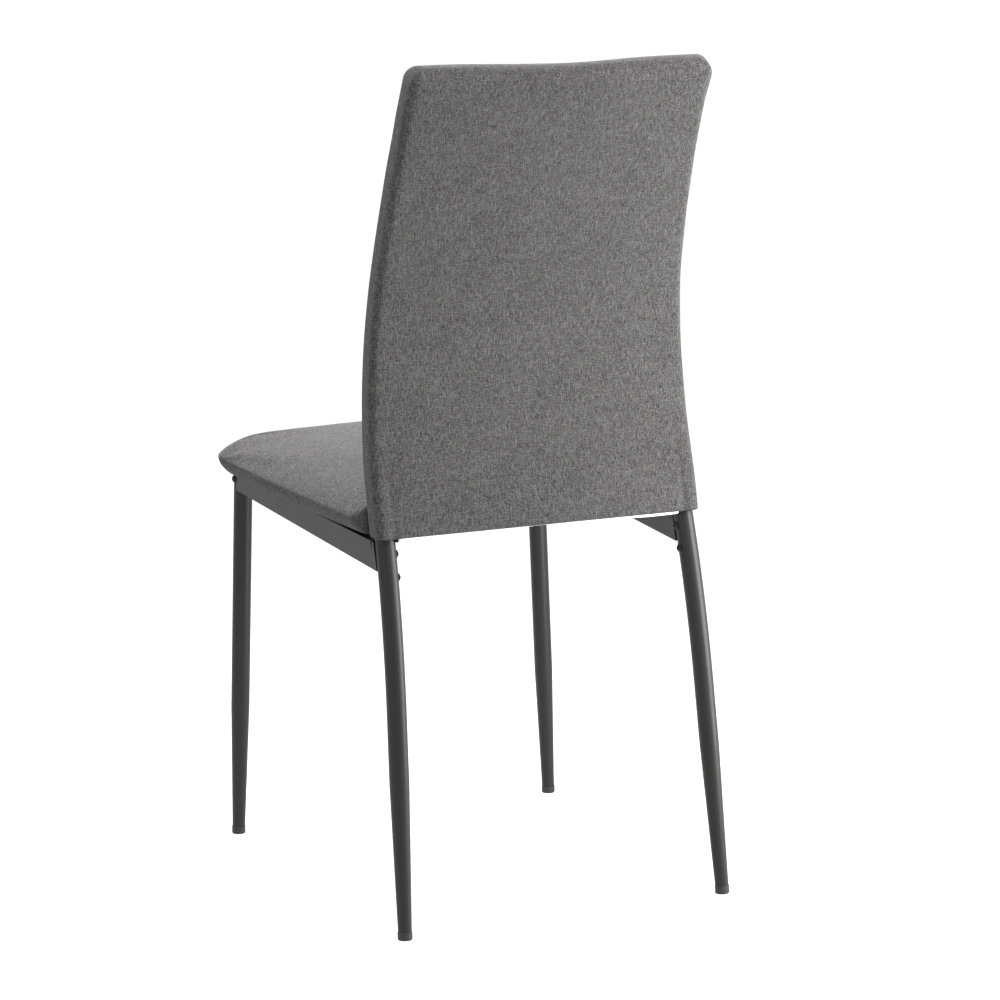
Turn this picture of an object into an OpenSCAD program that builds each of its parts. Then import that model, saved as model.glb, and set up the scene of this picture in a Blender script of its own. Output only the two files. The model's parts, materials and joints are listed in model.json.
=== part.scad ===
// Upholstered dining chair on a steel tube frame, in millimetres.
// Origin on the floor under the middle of the chair. +Z is up, +X is the sitter's left,
// and the chair faces -Y. Left-hand pieces are modelled and right-hand ones mirrored.

/* [Overall] */
// Height of the top of the back above the floor
overall_h = 920; // [760:1:1110]
// Distance from the floor's centre point back to the rear feet
rear_foot_y = 241; // [210:1:290]
// Half the distance between the two rear feet
rear_foot_x = 189; // [160:1:230]
// Distance from the floor's centre point forward to the front feet
front_foot_y = 241.5; // [200:1:290]
// Half the distance between the two front feet
front_foot_x = 201; // [168:1:240]
// Height of the rails' top edge at the front legs
rail_top_h = 431.5; // [360:0.5:520]

/* [Legs] */
// Outer diameter of the leg tubes
leg_d = 21.5; // [18:0.1:26]
// Wall of the leg tubes
leg_wall = 1.5; // [1:0.1:2]
// Outer diameter of a leg's lower end
leg_end_d = 15; // [13:0.1:17]
// Length of the tapered lower part of a rear leg
rear_taper = 165; // [120:1:200]
// Length of the tapered lower part of a front leg
front_taper = 155; // [120:1:200]
// Backward rake of the rear legs near the floor, in degrees
rear_rake = 6.6; // [4:0.1:9]
// Sideways splay of the rear legs, in degrees
rear_splay = 1.8; // [0:0.1:3]
// Forward rake of the front legs, in degrees
front_rake = 1.36; // [0:0.02:3]
// Sideways splay of the front legs, in degrees
front_splay = 2.09; // [0:0.01:4]
// Height at which a rear leg starts to bend
bend_h = 235; // [190:1:280]
// Radius of that bend
bend_r = 1200; // [1000:10:1800]

/* [Foot glides] */
// Diameter of a glide's visible head
glide_d = 16; // [14:0.1:20]
// Height of a glide's visible head
glide_h = 8.5; // [6:0.5:12]
// Rounding of the head's lower edge
glide_round = 2.5; // [1:0.1:3]
// Length of the plug inside the tube
glide_plug = 14; // [8:1:20]

/* [Rails] */
// Height of a side rail at the front leg
rail_front_h = 19.8; // [17:0.1:26]
// Height of a side rail at the rear leg
rail_rear_h = 29.9; // [22:0.1:36]
// Wall of the rails
rail_wall = 1.2; // [1:0.1:2]
// Slope of the rails' top edges and of the seat, in degrees
seat_tilt = 2.1; // [0:0.1:4]
// Depth of the front rail, front to back
front_rail_d = 20; // [14:0.5:24]
// Height of the front rail
front_rail_h = 17; // [14:0.5:18]
// Thickness of the saddle between a side rail and the rear leg
saddle_t = 2.5; // [2:0.1:4]
// How far a saddle's wings reach round the leg
saddle_wing = 6; // [3:0.1:8]
// How far the saddle stands proud of the rail
saddle_lip = 0.5; // [0.2:0.1:1]
// Thickness of the corner plates
plate_t = 3; // [2:0.1:4]
// Length of the corner plates
plate_l = 48; // [36:1:60]

/* [Back frame] */
// Wall of the back's uprights
upright_wall = 1.2; // [1:0.1:1.6]
// How far above the rails' top edge the back's curve reverses
reverse_rise = 23.5; // [10:0.5:40]
// Radius of the lumbar curve, at the tube's centre
lumbar_r = 430; // [360:5:520]
// Lean at which the lumbar curve ends, in degrees
lumbar_lean = 17.46; // [14:0.02:20]
// Radius of the upper curve, at the tube's centre
upper_r = 1120; // [900:10:1600]
// How far an upright reaches down inside the leg, below the leg's top
spigot_l = 78; // [66:1:90]
// How far a leg tube reaches up into the back
leg_into_back = 24; // [16:1:30]
// Distance from the back's top down to the middle of the top tube
top_tube_drop = 24; // [20:1:40]
// Distance from a leg's top up to the middle of the lower tube
lower_tube_rise = 24; // [18:1:40]
// Thickness of the plywood back panel
panel_t = 4; // [3:0.5:6]

/* [Back upholstery] */
// Thickness of the upholstered back
back_t = 34; // [30:0.5:44]
// How far the back's lower corners stand out past the rear leg tubes
back_low_out = 4.9; // [2:0.1:14]
// How far the back's top corners stand out past the line of those tubes
back_top_out = 1.7; // [1:0.1:10]
// How far the back's lower edge lies below the rails' top edge
back_low_drop = 13.5; // [6:0.5:20]
// Radius of the back's top corners
back_corner_r = 15; // [8:0.5:24]
// Thickness of the fabric
fabric_t = 1; // [0.8:0.1:1.5]
// How far the pale lining hangs below the fabric
lining_drop = 3.5; // [1:0.5:6]
// How far the lining is tucked up inside the fabric
lining_tuck = 7; // [4:0.5:10]

/* [Seat] */
// Width of the seat at the front
seat_w = 435; // [365:1:520]
// Width of the seat where it meets the back
seat_rear_w = 398; // [340:1:470]
// Distance from the front legs forward to the seat's front edge
seat_nose = 27.4; // [18:0.1:34]
// How far the front edge bows out in the middle
seat_bow = 9; // [2:0.5:16]
// Radius of the seat's front corners
seat_front_r = 52; // [30:1:70]
// Radius of the seat's rear corners
seat_rear_r = 18; // [10:1:30]
// Thickness of the seat, from the rails to its crown
seat_t = 53; // [44:0.5:66]
// Height of the widest line of the seat above the rails
seat_belt_h = 19; // [12:0.5:24]
// How far the underside is drawn in from the widest line
seat_under_in = 16; // [8:0.5:22]
// How far the crown is drawn in from the widest line
seat_crown_in = 75; // [50:1:100]
// Share of that which also holds at the seat's rear edge
seat_rear_share = 0.3; // [0.2:0.05:0.5]
// Thickness of the seat board
board_t = 12; // [9:0.5:18]
// How far the seat board lies inside the widest line
board_in = 20; // [18:0.5:26]
// Width of the fabric hem under the board
hem_w = 34; // [30:1:44]
// Thickness of the underside lining
lining_t = 0.6; // [0.4:0.1:0.9]

/* [Fasteners] */
// Thread diameter of the bolts and screws
bolt_d = 5; // [4:0.5:6]
// Distance between a rear leg's two bolts
rear_bolt_pitch = 24; // [18:0.5:28]
// Distance from a rear leg's top down to its upper bolt
rear_bolt_drop = 38; // [32:0.5:42]
// Distance from a front leg's top down to its bolt
front_bolt_drop = 5.2; // [5:0.1:7]
// Length of the seat screws, under the head
seat_screw_l = 14; // [12:0.5:16]
// Distance from the front legs back to the front seat brackets
front_bracket_s = 62; // [50:1:90]
// Distance from the seat's rear edge forward to the rear seat brackets
rear_bracket_in = 64; // [58:1:90]
// Thickness of a seat bracket
bracket_t = 2.5; // [2:0.1:4]
// Width of a seat bracket
bracket_w = 28; // [20:1:40]
// Reach of a seat bracket from its rail
bracket_reach = 32; // [30:1:40]
// Distance from a rail's inner face to its seat screws
screw_reach = 25.5; // [24:0.5:26]

/* [Clearances] */
// Gap round a tube that is welded to a curved face
weld_gap = 0.2; // [0.1:0.05:0.3]
// Radial play between an upright and the leg round it
slip = 0.2; // [0.1:0.05:0.3]
// Radial play of a bolt in a plain hole
bolt_play = 0.25; // [0.1:0.05:0.5]
// Radial play between a thread and its nut
thread_play = 0.1; // [0.05:0.01:0.2]
// Gap between pressed faces that meet at a slight angle
touch = 0.05; // [0.02:0.01:0.1]
// Gap between soft parts and what they lie against
soft_gap = 0.3; // [0.2:0.05:0.5]

/* [Hidden] */

STEEL = "#3a3a3b";
FABRIC = "#7b7977";
FOAM = "#d9cfae";
PLY = "#b98f5f";
ZINC = "#b9bbbd";
PALE_LINING = "#e8e6ea";
DARK_LINING = "#232323";
PLASTIC = "#1c1c1c";

$fn = 64;
arc_fn = 360;        // for the long arcs of the frame, whose chords would show at 64
bow_fn = 360;        // for the wide bow of the seat's front edge
soft_fn = 32;
over = 2;            // overshoot of a cut past a face
seam = 0.05;         // hairline groove between two lengths of one bent tube
seam_depth = 0.3;    // depth of that groove
seam_core = 3;       // length of tube wall that bridges it
lap = 0.003;         // overlap of two arcs of one slab, in degrees
thin = 0.01;         // thickness of a slice inside a hull
big = 2000;          // larger than the chair

leg_r = leg_d / 2;
leg_end_r = leg_end_d / 2;
upright_r = leg_r - leg_wall - slip;
back_low_h = rail_top_h - back_low_drop;
reverse_h = rail_top_h + reverse_rise;

// --- Side view of the rear leg and of the back: a straight, then three tangent arcs.
// Lean is counted backwards from the vertical, so a leg that rakes forward leans negative.
bend_y = rear_foot_y - bend_h * tan(rear_rake);
reverse_lean = asin(sin(rear_rake) + (reverse_h - bend_h) / bend_r);
bend_c = [bend_y - bend_r * cos(rear_rake), bend_h - bend_r * sin(rear_rake)];
reverse_p = bend_c + bend_r * [cos(reverse_lean), sin(reverse_lean)];
lumbar_c = reverse_p + lumbar_r * [cos(reverse_lean), sin(reverse_lean)];
lumbar_end = lumbar_c + lumbar_r * [-cos(lumbar_lean), sin(lumbar_lean)];
upper_c = lumbar_end + upper_r * [cos(lumbar_lean), -sin(lumbar_lean)];
top_lean = asin((overall_h - upper_c[1]) / (upper_r + back_t / 2));

// Lean of the leg's bend, of the lumbar arc and of the upper arc at height h
function bend_lean(h) = asin((h - bend_c[1]) / bend_r);
function lumbar_lean_at(h) = asin((h - lumbar_c[1]) / lumbar_r);
function upper_lean_at(h) = asin((h - upper_c[1]) / upper_r);
// Depth of the leg's centre line at height h within its bend
function bend_depth(h) = bend_c[0] + bend_r * cos(bend_lean(h));

// Half the width of the back at its lower edge and at its top
back_low_x = rear_foot_x - back_low_h * tan(rear_splay) + leg_r + back_low_out;
back_top_x = rear_foot_x - overall_h * tan(rear_splay) + leg_r + back_top_out;
leg_top_h = back_low_h + leg_into_back;
spigot_low_h = leg_top_h - spigot_l;
lower_tube_h = leg_top_h + lower_tube_rise;
top_tube_lean = top_lean - (top_tube_drop / upper_r) * 180 / PI;
upright_end_lean = top_tube_lean + (upright_r / upper_r) * 180 / PI;
rear_bolt_h = [leg_top_h - rear_bolt_drop, leg_top_h - rear_bolt_drop - rear_bolt_pitch];

// --- Front leg
leg_cap_t = 1.5;
leg_cap_plug = front_bolt_drop - bolt_d / 2 - leg_r * (tan(front_splay) + tan(front_rake)) - touch;
front_top_gap = 0.6;
front_leg_h = rail_top_h - leg_cap_t - front_top_gap;
front_bolt_h = front_leg_h - front_bolt_drop;
front_x = front_foot_x - front_bolt_h * tan(front_splay);
front_y = -front_foot_y + front_bolt_h * tan(front_rake);

// --- Rails, in a frame whose height is zero along the rails' top edges
rail_w = leg_d;
rear_rail_top = rail_top_h - (bend_depth(leg_top_h) - front_y) * tan(seat_tilt);
rear_mid_h = rear_rail_top - rail_rear_h / 2;
rear_x = rear_foot_x - rear_mid_h * tan(rear_splay);
rear_y = bend_depth(rear_mid_h);
rail_l = sqrt(pow(front_x - rear_x, 2) + pow((rear_y - front_y) / cos(seat_tilt), 2));
toe = atan((front_x - rear_x) / ((rear_y - front_y) / cos(seat_tilt)));
rear_lean_at_rail = bend_lean(rear_mid_h) + seat_tilt;
// The saddle's seat is straight where the leg bends a little, so its gap takes in the sagitta
saddle_gap = weld_gap + pow(rail_rear_h / 2, 2) / 2 / bend_r;
saddle_s = leg_r + saddle_t;
rail_bottom_slope = (rail_rear_h - rail_front_h) / rail_l;

// --- Bolts
bolt_head_r = 0.95 * bolt_d;
bolt_head_h = 0.55 * bolt_d;
bolt_hole_r = bolt_d / 2 + bolt_play;
shank_r = bolt_d / 2 - thread_play;
nut_h = 4;
nut_r = 0.8 * bolt_d / cos(30);
rear_bolt_l = 10;
socket_r = 0.3 * bolt_d / cos(30);
socket_h = 0.3 * bolt_d;

// --- Seat
seat_s0 = -seat_nose;
seat_rear_gap = 1;
// Depth of the back's front face at height h, below and above the reversal of its curve
function back_front(h) = h < reverse_h
    ? bend_depth(h) - back_t / 2 / cos(bend_lean(h))
    : lumbar_c[0] - sqrt(pow(lumbar_r + back_t / 2, 2) - pow(h - lumbar_c[1], 2));
// Height and draw-in of the crown at angle a round its edge
function crown_h(a) = seat_belt_h + (seat_t - seat_belt_h) * sin(a);
function crown_in(a) = seat_crown_in * (1 - cos(a));
// The seat reaches back until its rear edge nears the back's front face at some height
seat_rear_y = min([for (a = [0:15:90])
    back_front(rear_rail_top + crown_h(a)) - crown_h(a) * sin(seat_tilt)
    + seat_rear_share * crown_in(a)]) - seat_rear_gap;
seat_s1 = (seat_rear_y - front_y) / cos(seat_tilt);
bracket_s = [front_bracket_s, seat_s1 - rear_bracket_in];
seat_flank = seat_s1 - seat_s0 - seat_front_r;
seat_slant = atan((seat_w - seat_rear_w) / 2 / seat_flank);
bow_r = (pow(seat_w / 2 - seat_front_r, 2) + pow(seat_bow, 2)) / 2 / seat_bow;
tee_flange_r = 9;
tee_flange_t = 1.2;
tee_barrel_r = 3.4;
tee_barrel_l = 9;
foam_clear_t = fabric_t + soft_gap;
staple_w = 10;
staple_wire = 0.8;
staple_leg = 6;
staple_play = 0.15;
staple_in = board_in + hem_w - 6;
staple_side_rows = 6;
staple_front_rows = 5;

// ---------------------------------------------------------------- placing helpers
module left_and_right() {
    children();
    mirror([1, 0, 0]) children();
}

// Plane of a rear leg and its upright, with the foot's centre at x = 0
module at_rear_foot() translate([rear_foot_x, 0, 0]) rotate([0, -rear_splay, 0]) children();

// Front leg's own frame, z along the tube and the foot's centre at the origin
module at_front_foot() {
    translate([front_foot_x, -front_foot_y, 0])
        rotate([0, -front_splay, 0])
            rotate([-front_rake, 0, 0])
                children();
}

// Frame of the seat and rails: y runs back along the rails, z = 0 at their top edges
module at_seat() translate([0, front_y, rail_top_h]) rotate([-seat_tilt, 0, 0]) children();

// The same frame for the upholstered seat, which lies on the rails
module at_pad() at_seat() translate([0, 0, touch]) children();

// The rails' frame, centred on the left rail and turned along it
module at_rail() at_seat() translate([front_x, 0, 0]) rotate([0, 0, toe]) children();

// Arc about the point c = [y, z], swept from angle a0 to a1 above the +Y direction
module side_arc(c, a0, a1) {
    translate([0, c[0], c[1]])
        rotate([90, 0, 90])
            rotate([0, 0, a0])
                rotate_extrude(angle = a1 - a0, $fn = arc_fn)
                    children();
}

// Section of a tube of radius r and the given wall
module ring(r, wall) {
    difference() {
        circle(r, $fn = 64);
        circle(r - wall, $fn = 64);
    }
}

// ---------------------------------------------------------------- tubes
// Tapered straight tube body along z, grown by g, overshooting its ends by e
module tapered_straight(length, taper, g, e) {
    slope = (leg_r - leg_end_r) / (taper - glide_h);
    translate([0, 0, glide_h - e])
        cylinder(h = taper - glide_h + e, r1 = leg_end_r + g - slope * e, r2 = leg_r + g);
    translate([0, 0, taper])
        cylinder(h = length - taper + e, r = leg_r + g);
}

// Hollow bent tube of outer radius r between two heights of the leg's bend
module bend_tube(r, wall, h0, h1) {
    side_arc(bend_c, bend_lean(h0), bend_lean(h1)) translate([bend_r, 0]) ring(r, wall);
}

// Length of wall across the seam at depth and height p, where the tube leans forward
module tube_seam(p, lean, r, wall) {
    translate([0, p[0], p[1]]) rotate([lean, 0, 0]) linear_extrude(seam_core, center = true)
        ring(r - seam_depth, wall - 2 * seam_depth);
}

// A cylinder across the rear leg at height h, from depth x0 to x1 of its own x
module rear_cross(h, r, x0, x1) {
    translate([x0, bend_depth(h), h]) rotate([0, 90, 0]) cylinder(h = x1 - x0, r = r);
}

module rear_leg() {
    straight = bend_h / cos(rear_rake);
    color(STEEL) at_rear_foot() {
        translate([0, rear_foot_y, 0]) rotate([rear_rake, 0, 0]) difference() {
            tapered_straight(straight, rear_taper, 0, 0);
            tapered_straight(straight, rear_taper, -leg_wall, over);
        }
        difference() {
            bend_tube(leg_r, leg_wall, bend_h + seam, leg_top_h);
            for (h = rear_bolt_h)
                rear_cross(h, bolt_hole_r, -leg_r - over, 0);
        }
        tube_seam([bend_y, bend_h], rear_rake, leg_r, leg_wall);
    }
}

module front_leg_body(g, e) {
    at_front_foot() tapered_straight(front_leg_h / cos(front_splay), front_taper, g, e);
}

module front_leg() {
    color(STEEL) difference() {
        front_leg_body(0, 0);
        front_leg_body(-leg_wall, over);
        at_front_bolt() cross_hole(leg_r + over, -leg_r - over);
    }
}

// Frame of the front bolt: x across the chair through the leg, at the bolt's height
module at_front_bolt() translate([front_x, front_y, front_bolt_h]) rotate([0, 0, toe]) children();

module cross_hole(x1, x0) translate([x0, 0, 0]) rotate([0, 90, 0]) cylinder(h = x1 - x0, r = bolt_hole_r);

module front_leg_cap() {
    color(PLASTIC) at_front_foot() translate([0, 0, front_leg_h / cos(front_splay)]) {
        cylinder(h = leg_cap_t, r = leg_r);
        translate([0, 0, -leg_cap_plug]) cylinder(h = leg_cap_plug, r = leg_r - leg_wall - slip);
    }
}

// Head with a rounded lower edge and a plug, along z, cut level with the floor afterwards
module glide_body() {
    plug_r = leg_end_r - leg_wall - slip;
    head_r = glide_d / 2;
    sink = 1;
    rotate_extrude() {
        translate([0, -sink]) square([head_r - glide_round, glide_h + sink]);
        translate([0, glide_round - sink]) square([head_r, glide_h + sink - glide_round]);
        translate([head_r - glide_round, glide_round - sink]) intersection() {
            circle(glide_round);
            translate([0, -glide_round]) square(glide_round);
        }
        translate([0, glide_h]) square([plug_r, glide_plug]);
    }
}

module level_floor() {
    difference() {
        children();
        translate([-big / 2, -big / 2, -big]) cube(big);
    }
}

module rear_glide() {
    color(PLASTIC) level_floor()
        at_rear_foot() translate([0, rear_foot_y, 0]) rotate([rear_rake, 0, 0]) glide_body();
}

module front_glide() {
    color(PLASTIC) level_floor() at_front_foot() glide_body();
}

// ---------------------------------------------------------------- rails
// Side view of a rail grown by g: level top, rising bottom, ends from s0 to the leaning end
module rail_side(g, s0, s1) {
    lean = tan(rear_lean_at_rail);
    low = -rail_front_h - rail_bottom_slope * s0 - g;
    low_rear = -rail_rear_h - g;
    polygon([
        [s0, low],
        [s1 - lean * (low_rear + rail_rear_h / 2), low_rear],
        [s1 - lean * (g + rail_rear_h / 2), g],
        [s0, g]
    ]);
}

module rail_block(g, w, s0, s1) {
    translate([-w / 2, 0, 0]) rotate([90, 0, 90]) linear_extrude(w) rail_side(g, s0, s1);
}

module side_rail() {
    start = leg_r / 2;
    color(STEEL) difference() {
        at_rail() difference() {
            rail_block(0, rail_w, start, rail_l - saddle_s);
            rail_block(-rail_wall, rail_w - 2 * rail_wall, start - over, rail_l - saddle_s + over);
        }
        front_leg_body(weld_gap, over);
    }
}

module rail_saddle() {
    color(STEEL) difference() {
        at_rail() difference() {
            rail_block(0, rail_w + 2 * saddle_lip, rail_l - saddle_s, rail_l - leg_r + saddle_wing);
            rail_block(over, rail_w + leg_d, rail_l - saddle_s - 2 * over, rail_l - saddle_s);
        }
        at_rear_foot()
            translate([0, bend_depth(rear_mid_h), rear_mid_h])
                rotate([bend_lean(rear_mid_h), 0, 0])
                    cylinder(h = 4 * rail_rear_h, r = leg_r + saddle_gap, center = true);
    }
}

// Inner face of the corner plate, in the front bolt's frame
plate_x = -rail_w / 2 - plate_t;

module corner_plate() {
    top = -leg_cap_t - 2 * front_top_gap;
    color(STEEL) difference() {
        at_rail()
            translate([plate_x, -plate_l / 4, -rail_front_h])
                cube([plate_t, plate_l, rail_front_h + top]);
        at_front_bolt() cross_hole(0, plate_x - over);
        front_leg_body(weld_gap, over);
    }
}

module corner_nut() {
    at_front_bolt() translate([plate_x - nut_h - touch, 0, 0]) difference() {
        rotate([0, 90, 0]) cylinder(h = nut_h, r = nut_r, $fn = 6);
        rotate([0, 90, 0]) translate([0, 0, -over]) cylinder(h = nut_h + 2 * over, r = bolt_d / 2);
    }
}

module corner_nuts() {
    color(ZINC) left_and_right() corner_nut();
}

module front_rail() {
    half = front_x + plate_x - soft_gap;
    drop = 0.9;
    color(STEEL) at_seat() translate([0, 0, -front_rail_h / 2 - drop]) difference() {
        cube([2 * half, front_rail_d, front_rail_h], center = true);
        cube([2 * half + over, front_rail_d - 2 * rail_wall, front_rail_h - 2 * rail_wall],
             center = true);
    }
}

// ---------------------------------------------------------------- bolts and nuts
// Button-head bolt along +x, its head's seat at x = 0 and its shank running to -x
module button_bolt(length) {
    ball_r = (pow(bolt_head_r, 2) + pow(bolt_head_h, 2)) / 2 / bolt_head_h;
    rotate([0, 90, 0]) {
        difference() {
            intersection() {
                cylinder(h = bolt_head_h, r = bolt_head_r);
                translate([0, 0, bolt_head_h - ball_r]) sphere(ball_r);
            }
            translate([0, 0, bolt_head_h - socket_h]) cylinder(h = socket_h + over, r = socket_r, $fn = 6);
        }
        translate([0, 0, -length]) cylinder(h = length, r = shank_r);
    }
}

module front_leg_bolts() {
    reach = leg_d + plate_t + nut_h + 1;
    color(STEEL) left_and_right() at_front_bolt()
        translate([leg_r + weld_gap, 0, 0]) button_bolt(reach);
}

module rear_leg_bolts() {
    color(STEEL) left_and_right() at_rear_foot()
        for (h = rear_bolt_h)
            translate([-leg_r, bend_depth(h), h])
                mirror([1, 0, 0])
                    button_bolt(rear_bolt_l);
}

module upright_nuts() {
    inner = upright_r - upright_wall;
    face = sqrt(pow(inner, 2) - pow(nut_r, 2)) - thread_play;
    color(ZINC) left_and_right() at_rear_foot()
        for (h = rear_bolt_h)
            difference() {
                translate([-face, bend_depth(h), h])
                    rotate([0, 90, 0])
                        cylinder(h = nut_h, r = nut_r, $fn = 6);
                rear_cross(h, bolt_d / 2, -face - over, -face + nut_h + over);
            }
}

// ---------------------------------------------------------------- back frame
module back_upright() {
    seam_turn = seam / upper_r * 180 / PI;
    color(STEEL) at_rear_foot() {
        difference() {
            bend_tube(upright_r, upright_wall, spigot_low_h, reverse_h - seam);
            for (h = rear_bolt_h)
                rear_cross(h, bolt_hole_r, -leg_r, 0);
        }
        tube_seam(reverse_p, reverse_lean, upright_r, upright_wall);
        side_arc(lumbar_c, 180 - lumbar_lean, 180 + reverse_lean)
            translate([lumbar_r, 0]) ring(upright_r, upright_wall);
        tube_seam(lumbar_end, -lumbar_lean, upright_r, upright_wall);
        side_arc(upper_c, 180 - upright_end_lean, 180 - lumbar_lean - seam_turn)
            translate([upper_r, 0]) ring(upright_r, upright_wall);
    }
}

// Upright seen as a straight tube near a cross tube, for the cross tube's coped ends
module upright_cutter(p, lean, r) {
    left_and_right() at_rear_foot()
        translate([0, p[0], p[1]])
            rotate([-lean, 0, 0])
                cylinder(h = 4 * leg_d, r = r, center = true);
}

module cross_tube(p, lean) {
    reach = rear_foot_x - p[1] * tan(rear_splay);
    difference() {
        translate([-reach, p[0], p[1]]) rotate([0, 90, 0]) cylinder(h = 2 * reach, r = upright_r);
        translate([-reach - over, p[0], p[1]])
            rotate([0, 90, 0])
                cylinder(h = 2 * (reach + over), r = upright_r - upright_wall);
        upright_cutter(p, lean, upright_r + weld_gap);
    }
}

top_tube_p = upper_c + upper_r * [-cos(top_tube_lean), sin(top_tube_lean)];
lower_tube_lean = lumbar_lean_at(lower_tube_h);
lower_tube_p = lumbar_c + lumbar_r * [-cos(lower_tube_lean), sin(lower_tube_lean)];

module back_top_tube() color(STEEL) cross_tube(top_tube_p, top_tube_lean);

module back_lower_tube() color(STEEL) cross_tube(lower_tube_p, lower_tube_lean);

// ---------------------------------------------------------------- back upholstery
// Curved slab across the chair between two offsets from the centre line, forward positive,
// from height h0 in the leg's bend to lean a1 of the upper arc
module back_slab(f0, f1, h0, a1) {
    side_arc(bend_c, bend_lean(h0), reverse_lean)
        translate([bend_r - f1, -big / 2]) square([f1 - f0, big]);
    side_arc(lumbar_c, 180 - lumbar_lean - lap, 180 + reverse_lean + lap)
        translate([lumbar_r + f0, -big / 2]) square([f1 - f0, big]);
    side_arc(upper_c, 180 - a1, 180 - lumbar_lean)
        translate([upper_r + f0, -big / 2]) square([f1 - f0, big]);
}

// The same slab without the part below the lumbar arc, from lean a0 of that arc
module panel_slab(f0, f1, a0, a1) {
    side_arc(lumbar_c, 180 - lumbar_lean - lap, 180 - a0)
        translate([lumbar_r + f0, -big / 2]) square([f1 - f0, big]);
    side_arc(upper_c, 180 - a1, 180 - lumbar_lean)
        translate([upper_r + f0, -big / 2]) square([f1 - f0, big]);
}

// Front view: half widths x0 at the floor side and x1 at the top, a prism through the back
module front_view(x0, h0, x1, h1) {
    translate([0, big / 2, 0]) rotate([90, 0, 0]) linear_extrude(big)
        polygon([[-x0, h0], [x0, h0], [x1, h1], [-x1, h1]]);
}

// Rounded top end of the back, a prism along the thickness at the top; inset is d
module top_view(d) {
    mid = upper_c + upper_r * [-cos(top_lean), sin(top_lean)];
    r = back_corner_r - d;
    half = back_top_x - d;
    long = overall_h;
    translate([0, mid[0], mid[1]]) rotate([90 - top_lean, 0, 0])
        linear_extrude(big, center = true) {
            translate([-half + r, -long]) square([2 * (half - r), long - d]);
            translate([-half - long, -long]) square([2 * (half + long), long - d - r]);
            for (side = [-1, 1])
                translate([side * (half - r), -d - r]) circle(r);
        }
}

// The upholstered back's outer form, drawn in all round by d, its lower edge at height h0
module back_form(d, h0) {
    slant = (back_low_x - back_top_x) / (overall_h - back_low_h);
    low_x = back_low_x - d + slant * (back_low_h - h0);
    intersection() {
        back_slab(-back_t / 2 + d, back_t / 2 - d, h0 - back_t, top_lean);
        front_view(low_x, h0, back_top_x - d, overall_h);
        top_view(d);
    }
}

module back_cover() {
    color(FABRIC) difference() {
        back_form(0, back_low_h);
        back_form(fabric_t, back_low_h - over);
    }
}

// Half the clear width between the uprights at height h, less a gap g
function frame_clear(h, g) = rear_foot_x - h * tan(rear_splay) - (upright_r + g) / cos(rear_splay);

// Foam between offsets f0 and f1 over the whole back, with a core of offsets c0 to c1 that
// fills the frame between the uprights and the cross tubes
module foam_pad(f0, f1, c0, c1) {
    core_gap = 1;
    low_h = lower_tube_h + upright_r + 3 * core_gap;
    high_h = top_tube_p[1] - upright_r - 4 * core_gap;
    intersection() {
        back_slab(f0, f1, back_low_h - back_t, top_lean);
        back_form(foam_clear_t, back_low_h + lining_tuck + soft_gap);
    }
    intersection() {
        panel_slab(c0, c1, lumbar_lean_at(low_h - back_t), top_lean);
        front_view(frame_clear(low_h, core_gap), low_h, frame_clear(high_h, core_gap), high_h);
    }
}

tab_t = 2;
rivet_head_t = 1;
rivet_head_r = 4.5;
rivet_r = 2;
front_core = panel_t / 2 + rivet_head_t + soft_gap;
rear_core = panel_t / 2 + tab_t + rivet_head_t + soft_gap;
foam_face = leg_r + soft_gap;

module back_foam_front() {
    color(FOAM) foam_pad(foam_face, back_t / 2 - foam_clear_t, front_core, foam_face + over);
}

module back_foam_rear() {
    color(FOAM) foam_pad(-back_t / 2 + foam_clear_t, -foam_face, -foam_face - over, -rear_core);
}

panel_low_h = lower_tube_h + upright_r + soft_gap;
panel_high_h = top_tube_p[1] - upright_r - soft_gap;

module back_panel() {
    color(PLY) difference() {
        intersection() {
            panel_slab(-panel_t / 2, panel_t / 2, lumbar_lean_at(panel_low_h - panel_t), top_lean);
            front_view(frame_clear(panel_low_h, soft_gap), panel_low_h,
                       frame_clear(panel_high_h, soft_gap), panel_high_h);
        }
        at_panel_tabs() rivet_hole();
    }
}

tab_w = 24;
tab_l = 22;
tab_margin = 46;
// Leans of the tabs: one pair on the lumbar arc and one on the upper arc
tab_low_lean = lumbar_lean_at(panel_low_h + tab_margin);
tab_high_lean = upper_lean_at(panel_high_h - tab_margin);

// Children stand at each tab: x = 0 at the clear edge of the left upright, y forward
module at_panel_tabs() {
    spots = [[lumbar_c, lumbar_r, tab_low_lean], [upper_c, upper_r, tab_high_lean]];
    left_and_right()
        for (spot = spots) {
            p = spot[0] + spot[1] * [-cos(spot[2]), sin(spot[2])];
            translate([frame_clear(p[1], soft_gap), p[0], p[1]]) rotate([-spot[2], 0, 0]) children();
        }
}

module rivet_hole() {
    translate([-tab_l / 2, 0, 0]) rotate([90, 0, 0])
        cylinder(h = 4 * panel_t, r = rivet_r + thread_play, center = true);
}

// The panel is curved, so a flat tab stands off its rear face by this much
tab_sag = pow(tab_w / 2, 2) / 2 / lumbar_r + thread_play;

module panel_tab() {
    difference() {
        translate([-tab_l, panel_t / 2 + tab_sag, -tab_w / 2]) cube([tab_l, tab_t, tab_w]);
        rivet_hole();
    }
}

module panel_tabs() color(ZINC) at_panel_tabs() panel_tab();

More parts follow.
